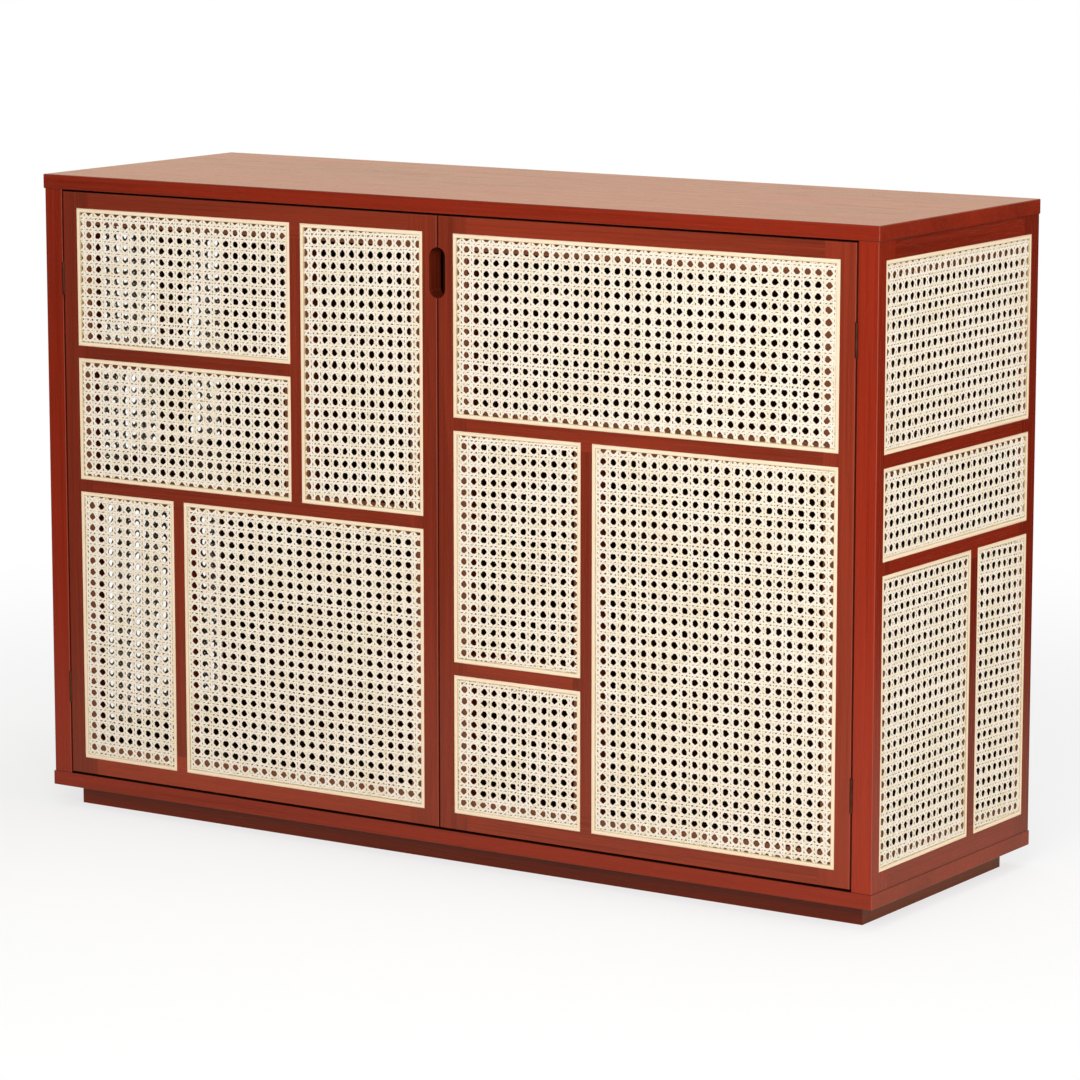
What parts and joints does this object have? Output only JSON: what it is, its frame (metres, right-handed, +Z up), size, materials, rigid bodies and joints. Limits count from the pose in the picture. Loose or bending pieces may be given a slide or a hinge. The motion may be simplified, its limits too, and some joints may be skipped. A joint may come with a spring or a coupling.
{
  "type": "sideboard",
  "caption": "Low wooden sideboard with side-hinged doors and sides of cane panels in an uneven grid of slim bars, a finger pull and a recessed plinth.",
  "frame": {"origin": "on the floor under the middle of the sideboard", "axes": "+Z up, +X to the right as seen from the front, +Y to the back; the doors face -Y"},
  "size_m": [1.2, 0.39, 0.81],
  "materials": {
    "wood": "red-brown stained ash, satin lacquer",
    "dowel_wood": "bare beech",
    "cane": "natural woven cane, matt",
    "spline": "natural reed, matt",
    "hinge_brass": "darkened, satin",
    "steel": "zinc plated",
    "catch_plastic": "brown"
  },
  "bodies": {
    "carcass": {"top_board": "wood", "base_board": "wood", "back_panel": "wood", "centre_partition": "wood", "left_shelf": "wood", "right_shelf": "wood", "plinth_front": "wood", "plinth_back": "wood", "plinth_left": "wood", "plinth_right": "wood", "left_side_front_post": "wood", "left_side_rear_post": "wood", "left_side_top_rail": "wood", "left_side_lower_rail": "wood", "left_side_bottom_rail": "wood", "left_side_muntin": "wood", "right_side_front_post": "wood", "right_side_rear_post": "wood", "right_side_top_rail": "wood", "right_side_lower_rail": "wood", "right_side_bottom_rail": "wood", "right_side_muntin": "wood", "left_side_upper_muntin": "wood", "right_side_upper_rail": "wood", "carcass_dowels": "dowel_wood", "left_side_cane": "cane", "left_side_splines": "spline", "right_side_cane": "cane", "right_side_splines": "spline", "hinge_post_leaves": "hinge_brass", "hinge_pins": "hinge_brass", "post_hinge_screws": "steel", "back_panel_screws": "steel", "shelf_pins": "steel", "door_catches": "catch_plastic"},
    "left_door": {"left_door_hinge_stile": "wood", "left_door_meeting_stile": "wood", "left_door_top_rail": "wood", "left_door_bottom_rail": "wood", "left_door_middle_rail": "wood", "left_door_short_rail": "wood", "left_door_upper_muntin": "wood", "left_door_lower_muntin": "wood", "left_door_cane": "cane", "left_door_splines": "spline", "left_door_hinge_leaves": "hinge_brass", "left_door_hinge_screws": "steel", "left_door_strike": "steel"},
    "right_door": {"right_door_hinge_stile": "wood", "right_door_meeting_stile": "wood", "right_door_top_rail": "wood", "right_door_bottom_rail": "wood", "right_door_cross_rail": "wood", "right_door_short_rail": "wood", "right_door_muntin": "wood", "right_door_cane": "cane", "right_door_splines": "spline", "right_door_hinge_leaves": "hinge_brass", "right_door_hinge_screws": "steel", "right_door_strike": "steel"}
  },
  "joints": [
    {"name": "left_door_hinge", "type": "hinge", "parent": "carcass", "child": "left_door", "pos_m": [-0.57095, -0.1928, 0.418], "axis": [0, 0, -1], "range_deg": [0, 110]},
    {"name": "right_door_hinge", "type": "hinge", "parent": "carcass", "child": "right_door", "pos_m": [0.57095, -0.1928, 0.418], "axis": [0, 0, 1], "range_deg": [0, 110]}
  ]
}
